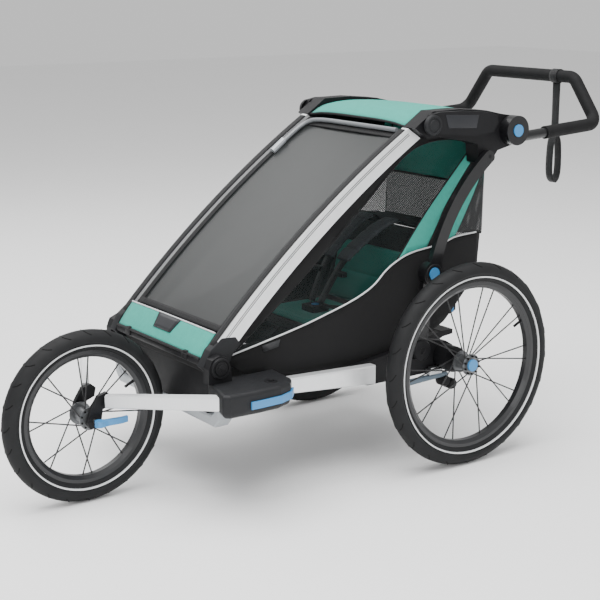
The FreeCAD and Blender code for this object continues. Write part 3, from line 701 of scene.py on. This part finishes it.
class TRAILER_OT_canopy(bpy.types.Operator):
    """Lay the teal roof over the top of the frame"""

    bl_idname = "trailer.canopy"
    bl_label = "Canopy"

    def execute(self, context):
        crest = flowing([(-106, 822), (-62, 843), (20, 848), (110, 840), (180, 824)])

        def place(u, v):
            y, z = along(crest, v)
            crown = 9 * (1 - (2 * u - 1) ** 4) - 5
            return at((CABIN_HALF + 2) * (2 * u - 1), y, z + crown)

        roof = thicken(piece("canopy_roof", grid(20, 20, place), "teal top", "upper_frame",
                             "teal_fabric"), 0.0022)
        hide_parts("roof_panel")
        for name, share in (("front", 0.0), ("rear", 1.0)):
            edge = [place(step / 12, share) for step in range(13)]
            piece(f"canopy_hem_{name}", tube(edge, 0.003), "binding", "upper_frame",
                  "black_fabric")
        seams = [tube([place(u, step / 10) + Vector((0, 0, 0.0012)) for step in range(11)],
                      0.0011) for u in (0.05, 0.95)]
        piece("canopy_seams", joined(seams), "teal top", "upper_frame", "teal_fabric")
        return {"FINISHED"}


class TRAILER_OT_front_band(bpy.types.Operator):
    """Fix the teal front band with its piping, hem and blank badge"""

    bl_idname = "trailer.front_band"
    bl_label = "Front band"

    def execute(self, context):
        slope = flowing([(-678, 344), (-664, 364), (-637, 396)])

        def place(u, v, lift=0.0):
            y, z = along(slope, v)
            swell_out = 4 * (1 - (2 * u - 1) ** 2) + lift
            return at((CABIN_HALF + 1) * (2 * u - 1), y - swell_out * 0.8, z + swell_out * 0.6)

        band = thicken(piece("front_band_cloth", grid(20, 8, place), "teal front",
                             "upper_frame", "teal_fabric"), 0.002)
        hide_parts("front_band")
        piece("front_band_piping", tube([place(s / 12, 1.0, 1) for s in range(13)],
                                        settings().piping), "piping", "upper_frame", "webbing")
        piece("front_band_hem", tube([place(s / 12, 0.0, 1) for s in range(13)], 0.0035),
              "binding", "upper_frame", "black_fabric")
        badge = grid(8, 4, lambda u, v: place(0.5 + (u - 0.5) * (0.20 + 0.06 * v),
                                              0.42 + 0.56 * v, 2.2))
        thicken(piece("front_badge", badge, "badge", "upper_frame", "black_plastic"), 0.0022)
        return {"FINISHED"}


class TRAILER_OT_side_panels(bpy.types.Operator):
    """Sew the side panels: lower fabric, clear window, teal stripes, mesh and piping"""

    bl_idname = "trailer.side_panels"
    bl_label = "Side panels"

    def execute(self, context):
        line = flowing(PIPING_LINE)
        front = [point for point in line if point[0] < -150]
        stripe_foot = [point for point in line if -152 < point[0] < -42]
        cover_foot = [point for point in line if -44 < point[0] < 14]
        rear_foot = [point for point in line if 12 < point[0] < 52]
        net_foot = [point for point in line if point[0] > 48]
        lower = [*line, (140, 536), (132, 462), (92, 400), (20, 330), (-60, 290), (-160, 272),
                 (-302, 260), (-494, 276), (-560, 290), (-612, 322)]
        stripe_front = flowing([(-151, 491), (-84, 562), (-14, 633), (48, 698), (109, 760)])
        stripe_back = flowing([(134, 752), (84, 694), (31, 627), (-8, 570), (-43, 523)])
        rear_front = flowing([(13, 529), (40, 572), (74, 623), (110, 662), (141, 698)])
        rear_back = flowing([(143, 694), (124, 654), (104, 616), (76, 572), (51, 538)])
        window_top = flowing([(-190, 676), (-128, 732), (-73, 768), (0, 780), (60, 776),
                              (109, 760)])
        regions = {
            "lower": ("black side", "black_fabric", lower),
            "window": ("side film", "screen",
                       [*front, *stripe_front, *window_top[::-1], (-360, 535), (-588, 350)]),
            "stripe": ("teal side", "teal_fabric", [*stripe_foot, *stripe_back[::-1],
                                                    *stripe_front[::-1]]),
            "border": ("black side", "black_fabric",
                       [(-618, 337), (-588, 350), (-360, 535), *window_top, (134, 752),
                        (138, 786), (60, 800), (0, 806), (-96, 800), (-345, 612)]),
            "strut_cover": ("black side", "black_fabric",
                            [*stripe_back, *cover_foot, *rear_front]),
            "rear_stripe": ("teal side", "teal_fabric",
                            [*rear_front, *rear_back, *rear_foot[::-1]]),
            "rear_corner": ("teal side", "teal_fabric",
                            [(141, 697), (134, 752), (138, 786), (170, 796), (163, 762),
                             (152, 693)]),
            "net": ("rear net", "screen", [*rear_back, *net_foot, (147, 538), (150, 620), (151, 694)]),
        }
        for name, side in SIDES.items():
            for part, (finish, slot, outline) in regions.items():
                cloth = piece(f"side_{part}_{name}", mirrored(panel(outline, side_x), side),
                              finish, "chassis", slot)
                if part != "window":
                    thicken(cloth, 0.0016)
                crumple(cloth)
            lines = [tube([at(side * (side_x(y, z) + 2), y, z) for y, z in line[::2]],
                          settings().piping)]
            trim = piece(f"side_piping_{name}", joined(lines), "piping", "chassis", "webbing")
            crumple(trim)
            hem = tube([at(side * (side_x(y, z) + 1), y, z) for y, z in
                        [*stripe_front[::3], *window_top[::-3], (-360, 535), (-588, 350)]],
                       0.0018)
            crumple(piece(f"side_window_hem_{name}", hem, "binding", "chassis",
                          "black_fabric"))
            tag = panel([(-521, 352), (-516, 337), (-478, 344), (-474, 361)],
                        lambda y, z: side_x(y, z) + 2)
            tag = piece(f"side_tag_{name}", mirrored(tag, side), "label", "chassis",
                        "black_plastic")
            crumple(thicken(tag, 0.0012))
            if side > 0:
                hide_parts("side_panels")
        return {"FINISHED"}


class TRAILER_OT_rear_panel(bpy.types.Operator):
    """Hang the rear panel: teal top, inner mesh, hems and the black shelf behind the seat back"""

    bl_idname = "trailer.rear_panel"
    bl_label = "Rear panel and cargo bag"

    def execute(self, context):
        line = flowing([(145, 538), (147, 620), (152, 700), (163, 765), (178, 817)])

        def place(u, v):
            y, z = along(line, v)
            crown = 10 * (1 - (2 * u - 1) ** 4) * max(0, v - 0.41) / 0.59
            return at((CABIN_HALF + 1.5) * (2 * u - 1), y + 5 * (1 - (2 * u - 1) ** 2),
                      z + crown)

        top = piece("rear_top_cloth", grid(16, 8, lambda u, v: place(u, 0.41 + 0.59 * v)),
                    "teal front", "chassis", "teal_fabric")
        net = piece("rear_net_cloth", grid(16, 14, lambda u, v: place(u, 0.41 * v)),
                    "inner net", "chassis", "screen")
        hems = [tube([place(s / 10, v) for s in range(11)], 0.003) for v in (0.0, 0.41, 1.0)]
        hem = piece("rear_panel_hems", joined(hems), "binding", "chassis", "black_fabric")
        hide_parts("rear_panel")
        for cloth in (top, net):
            thicken(cloth, 0.0016)
        for cloth in (top, net, hem):
            crumple(cloth)
        shelf_line = flowing([(2, 552), (40, 553), (90, 544), (147.5, 538)])
        shelf = grid(16, 10, lambda u, v: at(184 * (2 * u - 1), *along(shelf_line, v)))
        shelf = thicken(piece("seat_back_shelf", shelf, "black front", "chassis",
                              "black_fabric"), 0.002)
        crumple(shelf)
        return {"FINISHED"}


class TRAILER_OT_cargo_bag(bpy.types.Operator):
    """Fill the cargo bag behind the seat"""

    bl_idname = "trailer.cargo_bag"
    bl_label = "Cargo bag"

    def execute(self, context):
        outline = flowing([(134, 528), (122, 462), (88, 400), (54, 336), (18, 302), (-54, 297),
                           (-26, 420), (56, 528)], 2)
        bag = piece("cargo_bag_shell", prism(outline, -168, 168), "black front", "chassis",
                    "black_fabric")
        swell(bag, 0.012, 0.009)
        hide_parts("cargo_bag")
        crumple(bag)
        flap = prism([(14, 378), (58, 380), (70, 372), (70, 350), (56, 342), (16, 338)],
                     176, 188, 2)
        crumple(piece("bag_flap", flap, "black plastic", "chassis", "black_plastic"))
        marks = [prism([(y, 375), (y + 7, 375), (y + 7, 346), (y, 346)], 188, 189.4, 0.4)
                 for y in (42, 55)]
        crumple(piece("flap_stripes", joined(marks), "blue", "chassis", "blue"))
        return {"FINISHED"}


class TRAILER_OT_seat(bpy.types.Operator):
    """Stuff the seat: base, back and teal inserts"""

    bl_idname = "trailer.seat"
    bl_label = "Seat"

    def execute(self, context):
        base = piece("seat_base_cushion", prism([(-336, 322), (-106, 305), (-84, 312),
                                                 (-102, 343), (-250, 346), (-326, 346)],
                                                -160, 160), "seat", "chassis", "black_fabric")
        swell(base, 0.006)
        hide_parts("seat_base")
        back = piece("seat_back_cushion", prism([(-68, 316), (6, 548), (-19, 558), (-91, 352)],
                                                -160, 160), "seat", "chassis", "black_fabric")
        swell(back, 0.006)
        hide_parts("seat_back")
        crumple(back)
        lean = Vector((-98 - 45, 348 - 758)).normalized()
        out = Vector((lean.y, -lean.x))

        def on_back(u, v, lift):
            y, z = Vector((-96, 354)) - lean * (150 * v) + out * lift
            return at(118 * (2 * u - 1) * (1 + 0.12 * v), y, z)

        def crowned(u, v):
            edge = (1 - (2 * u - 1) ** 6) * (1 - (2 * v - 1) ** 6)
            channel = 2.5 * math.exp(-((v - 0.5) / 0.03) ** 2)
            return on_back(u, v, 2 + 9 * max(0, edge) ** 0.5 - channel)

        # Teal darkened as painted shade inside the cabin.
        insert = thicken(piece("seat_back_insert", grid(24, 30, crowned), "painted-shade teal seat",
                               "chassis", "teal_fabric"), 0.003)
        crumple(insert)

        def on_base(u, v):
            edge = (1 - (2 * u - 1) ** 6) * (1 - (2 * v - 1) ** 6)
            x, y = 118 * (2 * u - 1), -318 + 196 * v
            dent = 5 * math.exp(-((y + 224) / 34) ** 2 - (x / 44) ** 2)
            return at(x, y, 348 + 6 * max(0, edge) ** 0.5 - dent)

        # Teal darkened as painted shade inside the cabin.
        pad = thicken(piece("seat_base_insert", grid(24, 20, on_base), "painted-shade teal seat", "chassis",
                            "teal_fabric"), 0.003)
        return {"FINISHED"}


class TRAILER_OT_harness(bpy.types.Operator):
    """Thread the harness: shoulder pads, webbing and lap straps"""

    bl_idname = "trailer.harness"
    bl_label = "Harness"

    def execute(self, context):
        for name, side in SIDES.items():
            route = flowing([(16, 548), (-8, 566), (-34, 562), (-80, 540), (-158, 482),
                             (-196, 430), (-226, 374)], 6)
            inner = flowing([(56,), (55,), (54,), (53,), (50,), (38,), (18,)], 6)

            def place(u, v, low=0.0, high=1.0, width=25, lift=0.0):
                share = low + (high - low) * u
                y, z = along(route, share)
                x = along(inner, share)[0] + width * (v - 0.5)
                return at(side * x, y - lift * 0.6, z + lift * 0.8)

            web = thicken(piece(f"harness_web_{name}", grid(40, 2, place), "webbing",
                                "chassis", "webbing"), 0.0018)
            crumple(web)

            def pad_top(u, v):
                edge = (1 - (2 * v - 1) ** 4) * (1 - (2 * u - 1) ** 10)
                channel = sum(math.exp(-((u - c) / 0.018) ** 2) for c in (0.2, 0.4, 0.6, 0.8))
                return place(u, v, 0.14, 0.64, 46, 3 + 7 * max(0, edge) ** 0.5 - 2.2 * channel)

            pad = thicken(piece(f"harness_pad_{name}", grid(60, 12, pad_top), "pad", "chassis",
                                "webbing"), 0.007)
            crumple(pad)
            lap = flowing([(150, -118, 372), (108, -150, 366), (64, -196, 364), (22, -224, 364)])
            thicken(piece(f"lap_strap_{name}", grid(24, 2, lambda u, v: at(
                side * along(lap, u)[0], along(lap, u)[1],
                along(lap, u)[2] + 24 * (v - 0.5) * 0.4 + 4)),
                "webbing", "chassis", "webbing"), 0.0018)
            slider = piece(f"harness_slider_{name}", mirrored(block(
                (30, -192, 441), (62, -176, 454), 2), side), "black plastic", "chassis",
                "black_plastic")
            crumple(slider)
        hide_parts("harness")
        return {"FINISHED"}


def repeated(form, centre, count):
    """The form and its copies, spaced evenly round a wheel's axle."""
    bmesh.ops.spin(form, geom=form.verts[:] + form.edges[:] + form.faces[:], cent=at(*centre),
                   axis=(1, 0, 0), angle=math.tau, steps=count, use_duplicate=True)
    return form


def reflective_rings(x, y, z):
    """The bright ring on both walls of a tyre."""
    profile = ((0, -1.9), (3.4, -1.7), (4.6, 0), (4.2, 1.7), (0, 1.9), (0, -1.9))
    wall = z - 33
    return joined([turned([(x + side * (17.5 + lift), wall + step) for lift, step in profile],
                          y, z, 96) for side in (1, -1)])


def tread_cut_shade_lines(x, y, z):
    """Slanted dark lines across both shoulders of a tyre, painted as the shade in its cuts."""
    cuts = []
    reach = TYRE_HALF + 0.1
    for side in (1, -1):
        line = []
        for turn, shift in ((14, 0), (27, 0.012), (40, 0.035), (53, 0.075)):
            around = math.radians(turn)
            radius = z - TYRE_HALF + reach * math.cos(around)
            line.append(at(x + side * reach * math.sin(around), y + radius * math.sin(shift),
                           z + radius * math.cos(shift)))
        cuts.append(repeated(tube(line, 0.0011, 1), (x, y, z), TREAD_CUTS))
    return joined(cuts)


def flange_hole_shade_dots(x, y, z, flanges):
    """Dark dots on both faces of both hub flanges, painted as the shade in the spoke holes."""
    holes = []
    for flange in flanges:
        for face in (1, -1):
            near, far = x + flange + face * 1.2, x + flange + face * 2.0
            dot = turned([(near, 0), (near, 2.4), (far, 2.4), (far, 0)], y,
                         z + FLANGE_HOLE_CIRCLE, 10)
            holes.append(repeated(dot, (x, y, z), FLANGE_HOLES))
    return joined(holes)


def valve(x, y, z):
    """The valve stem, which leans back from the rim towards the hub."""
    rim = z - 61
    return tube([at(x, y + (rim + out) * 0.9, z + (rim + out) * 0.436) for out in (8, -8, -24)],
                0.0035)


class TRAILER_OT_wheel_trim(bpy.types.Operator):
    """Add reflective rings and valves to the wheels, with dark lines and dots painted as the shade in
    the shoulder cuts and flange holes
    """

    bl_idname = "trailer.wheel_trim"
    bl_label = "Wheel trim"

    def execute(self, context):
        for name, node in frame["nodes"].items():
            if SLOTS[name] == "spoke":
                thicker = node.modifiers.new("thicker", "DISPLACE")
                thicker.strength = SPOKE_THICKENING
                thicker.mid_level = 0
        flanges = {"front_wheel": FRONT_FLANGES, "rear_wheel_left": LEFT_FLANGES,
                   "rear_wheel_right": RIGHT_FLANGES}
        for body, centre in WHEELS.items():
            piece(f"reflective_ring_{body}", reflective_rings(*centre), "reflector", body,
                  "silver")
            # Dark lines painted as the shade in the tread cuts.
            piece(f"tread_cut_shade_lines_{body}", tread_cut_shade_lines(*centre), "painted cut shade", body, "tyre")
            # Dark dots painted as the shade in the flange holes.
            piece(f"flange_hole_shade_dots_{body}", flange_hole_shade_dots(*centre, flanges[body]), "painted cut shade",
                  body, "hub")
            piece(f"valve_{body}", valve(*centre), "black plastic", body, "black_plastic")
        return {"FINISHED"}


def trim(name, form, side, body, finish="black plastic", slot="black_plastic"):
    """A piece made for the left side, kept there or turned over for the right."""
    return piece(name, mirrored(form, side), finish, body, slot)


def brake_trim(name, side):
    """The brake bar, its block and the two knobs under the axle housing."""
    bar = prism([(-122, 202), (-118, 196), (4, 201), (6, 208), (0, 213), (-116, 209)],
                226, 238, 2)
    trim(f"brake_bar_{name}", bar, side, "chassis", "slate", "light_grey")
    keeper = joined([block((222, -58, 212), (241, -16, 226), 2),
                     block((225, -50, 226), (238, -26, 230), 1)])
    trim(f"brake_bar_block_{name}", keeper, side, "chassis", "steel", "steel")
    knob = [(214, 0), (214, 12), (217, 14), (238, 14), (243, 11), (244, 6), (244, 0)]
    knobs = joined([turned(knob, -3, 189), turned(knob, 19, 178)])
    trim(f"brake_knobs_{name}", knobs, side, "chassis")


def upright_trim(name, side):
    """Two dark strips painted as the shade in the upright's grooves, the front seal, the elbow's ring
    and the shoe of an upright.
    """
    for number, depth in enumerate((8.5, 13)):
        # Flat black strips on the upright's face: painted shade standing for its two grooves.
        groove = grid(2, 40, lambda u, v: upright_side(v, depth + 1.8 * u))
        trim(f"upright_groove_shade_{number}_{name}", groove, side, "upper_frame", "binding")
    seal = grid(3, 40, lambda u, v: upright_side(v, -2.2, UPRIGHT_INNER + 19 * u))
    thicken(trim(f"upright_seal_{name}", seal, side, "upper_frame", "binding",
                 "black_fabric"), 0.003)
    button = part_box("fold_button_left")[1].x * 1000
    ring = turned([(button + a, radius) for a, radius in
                   ((-8, 15.3), (-8, 24), (-3, 24), (-1.2, 22.5), (-1.2, 19), (-2.5, 17.6),
                    (-2.5, 15.3), (-8, 15.3))], *ELBOW)
    trim(f"elbow_ring_{name}", ring, side, "strut_upper")
    shoe = prism([(-668, 366), (-688, 331), (-657, 300), (-629, 312), (-606, 354), (-588, 371),
                  (-601, 388), (-637, 390)], UPRIGHT_INNER, UPRIGHT_OUTER + 1.35, 1.6)
    trim(f"upright_shoe_{name}", shoe, side, "upper_frame", "grey plastic")


def band_clip(name, side):
    """The clip that holds the front band on its crossbar."""
    clip = joined([block((118, -686, 332), (142, -664, 346), 2.5),
                   block((122, -684, 344), (138, -668, 352), 2)])
    trim(f"band_clip_{name}", clip, side, "upper_frame")


def socket_lip(name, side):
    """The raised lip round the hitch-pin hole in the top of the arm socket."""
    lip = turned([(0, 7.4), (1.2, 8.2), (1.2, 12.6), (0.8, 14.4), (0, 14.8), (0, 7.4)], 0, 0)
    bmesh.ops.rotate(lip, verts=lip.verts, cent=at(0, 0, 0),
                     matrix=Matrix.Rotation(-math.pi / 2, 3, "Y"))
    bmesh.ops.translate(lip, verts=lip.verts, vec=at(*HITCH_PIN) - at(0, 0, 0))
    trim(f"socket_hole_lip_{name}", lip, side, "chassis")


def front_pivot_cap(name, side):
    """The round cap with a hooked rib over the upright's foot."""
    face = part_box("front_brackets")[1].x * 1000
    cap = turned([(face + a, radius) for a, radius in
                  ((0, 24), (4, 24), (6, 22), (6, 19), (4, 18), (4, 16), (6.5, 15), (7, 0))],
                 *FRONT_PIVOT)
    hook = prism([(-667, 330), (-664, 338), (-655, 341), (-648, 334), (-650, 324), (-660, 318),
                  (-655, 326), (-660, 332)], face + 6.5, face + 8.4, 0.6)
    trim(f"front_pivot_cap_{name}", joined([cap, hook]), side, "chassis")


def casting_trim(name, side):
    """The round boss and the blank badge on the top casting."""
    boss = turned([(CASTING_OUTER + a, radius) for a, radius in
                   ((-4, 24), (4, 24), (6, 22), (6, 18), (4, 17), (4, 14), (6, 12), (6, 0))],
                  -72, 824)
    trim(f"casting_boss_{name}", boss, side, "upper_frame", "grey plastic")
    badge = prism([(-34, 846), (71, 840), (64, 809), (-24, 814)], CASTING_OUTER - 1,
                  CASTING_OUTER + 1.4, 0.8)
    trim(f"casting_badge_{name}", badge, side, "upper_frame", "badge")


def rear_pivot_cap(name, side):
    """The round cap over the lower strut's pivot."""
    cap = turned([(222, 0), (222, 26), (243, 26), (246, 23), (246, 8), (244, 6), (244, 0)],
                 *REAR_PIVOT)
    trim(f"rear_pivot_cap_{name}", cap, side, "chassis")


class TRAILER_OT_frame_trim(bpy.types.Operator):
    """Add the pivot caps, badges, clips and trim of the frame, with dark strips painted as the shade
    in the upright grooves
    """

    bl_idname = "trailer.frame_trim"
    bl_label = "Frame trim"

    def execute(self, context):
        crossbar = turned([(-SIDE_X, 0), (-SIDE_X, 7), (-CABIN_HALF, 8.5), (CABIN_HALF, 8.5),
                           (SIDE_X, 7), (SIDE_X, 0)], -675, 336)
        piece("band_crossbar", crossbar, "black plastic", "upper_frame", "black_plastic")
        kick = grid(12, 4, lambda u, v: at((CABIN_HALF - 1) * (2 * u - 1), -650 - 16 * v,
                                           300 + 33 * v))
        kick = thicken(piece("kick_cloth", kick, "black front", "chassis", "black_fabric"),
                       0.0016)
        for name, side in SIDES.items():
            for make in (brake_trim, upright_trim, band_clip, socket_lip, front_pivot_cap,
                         casting_trim, rear_pivot_cap):
                make(name, side)
        return {"FINISHED"}


class TRAILER_OT_stage(bpy.types.Operator):
    """Set the floor, the lights and the camera"""

    bl_idname = "trailer.stage"
    bl_label = "Stage"

    def execute(self, context):
        form = bmesh.new()
        bmesh.ops.create_grid(form, x_segments=1, y_segments=1, size=FLOOR_HALF)
        mesh = bpy.data.meshes.new("floor")
        form.to_mesh(mesh)
        form.free()
        floor = bpy.data.objects.new("floor", mesh)
        context.scene.collection.objects.link(floor)
        ground = Finish("pale floor", (0.92, 0.92, 0.92), 0.85)
        ground.tint(0.01, ground.cloud(0.8))
        mesh.materials.append(ground.material)
        world = bpy.data.worlds.new("studio")
        world.use_nodes = True
        world.node_tree.nodes["Background"].inputs[0].default_value = (1, 1, 1, 1)
        world.node_tree.nodes["Background"].inputs[1].default_value = WORLD_LIGHT
        context.scene.world = world
        for name, place, size, power in LIGHTS:
            light = bpy.data.lights.new(name, "AREA")
            light.size = size
            light.energy = power
            lamp = bpy.data.objects.new(name, light)
            lamp.location = place
            aim = LIGHT_TARGET - lamp.location
            lamp.rotation_euler = aim.to_track_quat("-Z", "Y").to_euler()
            context.scene.collection.objects.link(lamp)
        view = bpy.data.cameras.new("camera")
        view.lens = CAMERA_LENS
        view.sensor_width = CAMERA_SENSOR
        camera = bpy.data.objects.new("camera", view)
        camera.location = CAMERA_PLACE
        camera.rotation_euler = (math.radians(90 - CAMERA_DOWN), 0,
                                 math.radians(CAMERA_ROUND))
        context.scene.collection.objects.link(camera)
        context.scene.camera = camera
        return {"FINISHED"}


OPERATORS = (
    TRAILER_OT_stage,
    TRAILER_OT_finishes,
    TRAILER_OT_wrist_strap,
    TRAILER_OT_front_window,
    TRAILER_OT_canopy,
    TRAILER_OT_front_band,
    TRAILER_OT_side_panels,
    TRAILER_OT_rear_panel,
    TRAILER_OT_cargo_bag,
    TRAILER_OT_seat,
    TRAILER_OT_harness,
    TRAILER_OT_wheel_trim,
    TRAILER_OT_frame_trim,
)


class TRAILER_PT_panel(bpy.types.Panel):
    """Lists the trailer's settings and pieces."""

    bl_idname = "TRAILER_PT_panel"
    bl_label = "Child trailer"
    bl_space_type = "VIEW_3D"
    bl_region_type = "UI"
    bl_category = "Trailer"

    def draw(self, context):
        for name in TrailerSettings.__annotations__:
            self.layout.prop(context.scene.trailer_settings, name)
        for operator in OPERATORS:
            self.layout.operator(operator.bl_idname)


CLASSES = (TrailerSettings, *OPERATORS, TRAILER_PT_panel)


def register():
    """Makes the classes and the settings known."""
    for part in CLASSES:
        bpy.utils.register_class(part)
    bpy.types.Scene.trailer_settings = PointerProperty(type=TrailerSettings)


def unregister():
    """Takes the classes and the settings away again."""
    del bpy.types.Scene.trailer_settings
    for part in reversed(CLASSES):
        bpy.utils.unregister_class(part)


def main():
    """Builds every piece in order."""
    register()
    for operator in OPERATORS:
        group, name = operator.bl_idname.split(".")
        getattr(getattr(bpy.ops, group), name)()


if __name__ == "__main__":
    main()
